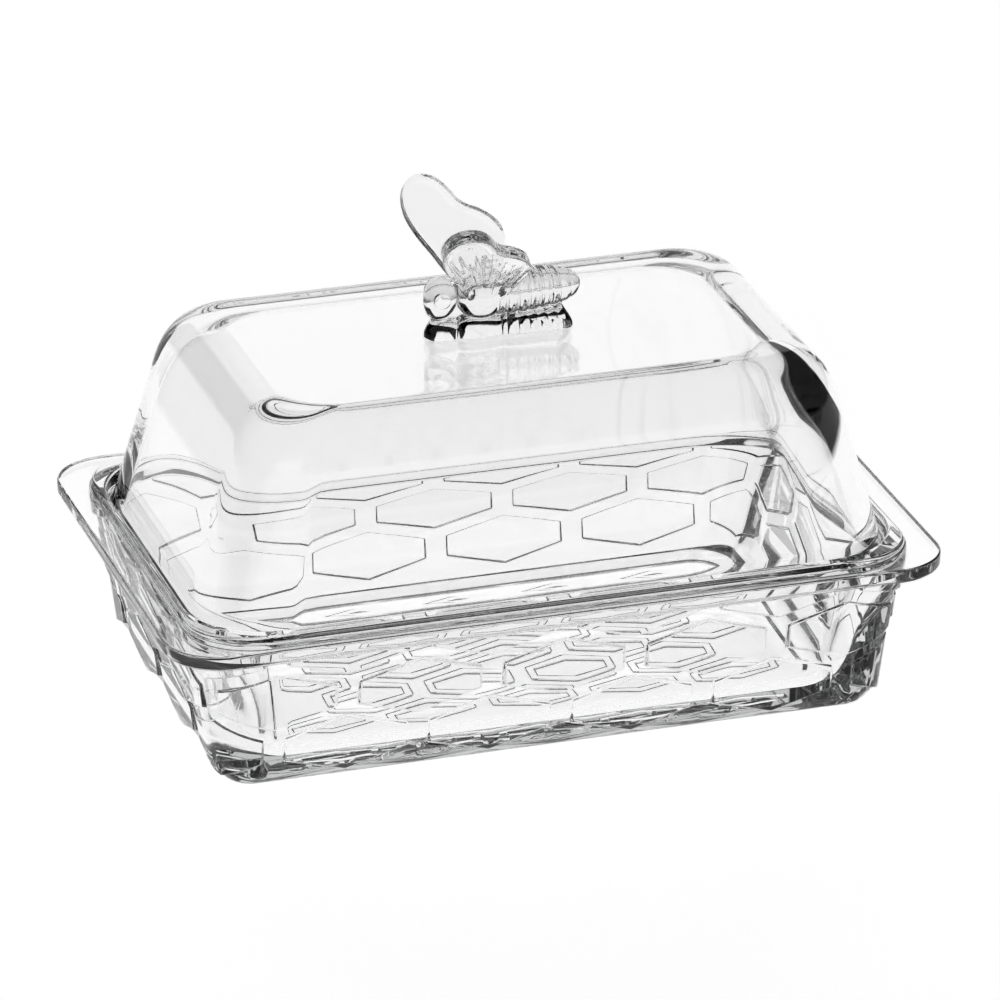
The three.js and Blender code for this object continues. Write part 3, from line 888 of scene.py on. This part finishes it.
# ---- Floor, light and camera ----

def make_floor():
    """A wide pale floor that hardly shows a shadow."""
    bpy.ops.mesh.primitive_circle_add(vertices=96, radius=STUDIO_RADIUS, fill_type="NGON",
                                      location=(0, 0, -0.0002))
    floor = bpy.context.object
    floor.name = "studio_floor"
    material = bpy.data.materials.new("pale_floor")
    material.use_nodes = True
    nodes, links = material.node_tree.nodes, material.node_tree.links
    shader = nodes["Principled BSDF"]
    shader.inputs["Base Color"].default_value = (FLOOR_SHADE, FLOOR_SHADE, FLOOR_SHADE, 1)
    shader.inputs["Roughness"].default_value = 1
    shader.inputs["Specular IOR Level"].default_value = 0
    shader.inputs["Emission Color"].default_value = (1, 1, 1, 1)
    shader.inputs["Emission Strength"].default_value = FLOOR_GLOW
    floor.data.materials.append(material)


def math_node(tree, operation, first, second=None):
    node = tree.nodes.new("ShaderNodeMath")
    node.operation = operation
    for socket, value in zip(node.inputs, (first, second)):
        if isinstance(value, (int, float)):
            socket.default_value = value
        elif value is not None:
            tree.links.new(value, socket)
    return node.outputs[0]


def range_node(tree, value, start, end, low, high, smooth=False):
    node = tree.nodes.new("ShaderNodeMapRange")
    if smooth:
        node.interpolation_type = "SMOOTHSTEP"
    for name, number in (("From Min", start), ("From Max", end), ("To Min", low), ("To Max", high)):
        node.inputs[name].default_value = number
    tree.links.new(value, node.inputs["Value"])
    return node.outputs["Result"]


def make_world():
    """Two wide white walls, before and behind the dish, in a dark studio that draws the edges."""
    world = bpy.data.worlds.new("studio")
    bpy.context.scene.world = world
    world.use_nodes = True
    tree = world.node_tree
    place = tree.nodes.new("ShaderNodeTexCoord")
    parts = tree.nodes.new("ShaderNodeSeparateXYZ")
    tree.links.new(place.outputs["Generated"], parts.inputs["Vector"])
    x_share = math_node(tree, "MULTIPLY", parts.outputs["X"], math.cos(CAMERA_AZIMUTH))
    y_share = math_node(tree, "MULTIPLY", parts.outputs["Y"], math.sin(CAMERA_AZIMUTH))
    rightward = math_node(tree, "ADD", x_share, y_share)
    leftward = math_node(tree, "MULTIPLY", rightward, LEFT_LIGHT)
    sideways = math_node(tree, "MAXIMUM", rightward, leftward)
    wall_top = range_node(tree, sideways, LIGHT_FADE_START, LIGHT_FADE_END, LIGHT_TOP, LIGHT_LOW,
                          smooth=True)
    above = math_node(tree, "SUBTRACT", parts.outputs["Z"], wall_top)
    light = range_node(tree, above, -LIGHT_EDGE, LIGHT_EDGE, 1, 0)
    tree.links.new(light, tree.nodes["Background"].inputs["Color"])


def make_camera():
    data = bpy.data.cameras.new("camera")
    data.lens = CAMERA_LENS
    data.sensor_width = 36
    data.clip_end = 100
    camera = bpy.data.objects.new("camera", data)
    bpy.context.scene.collection.objects.link(camera)
    camera.location = CAMERA_PLACE
    camera.rotation_euler = (math.pi / 2 - CAMERA_ELEVATION, 0, CAMERA_AZIMUTH)
    bpy.context.scene.camera = camera


scene = bpy.context.scene
scene.view_settings.view_transform = "Standard"
scene.view_settings.gamma = VIEW_GAMMA
scene.cycles.max_bounces = LIGHT_BOUNCES
scene.cycles.transmission_bounces = LIGHT_BOUNCES
scene.cycles.glossy_bounces = MIRROR_BOUNCES
make_camera()
make_world()
make_floor()

base = make_base()
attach(base, "dish")
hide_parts("dish_base")

bee, bee_outline = make_bee()
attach(bee, "lid")
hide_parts("bee_knob")

lid = make_lid(bee_outline)
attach(lid, "lid")
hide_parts("lid_cover")
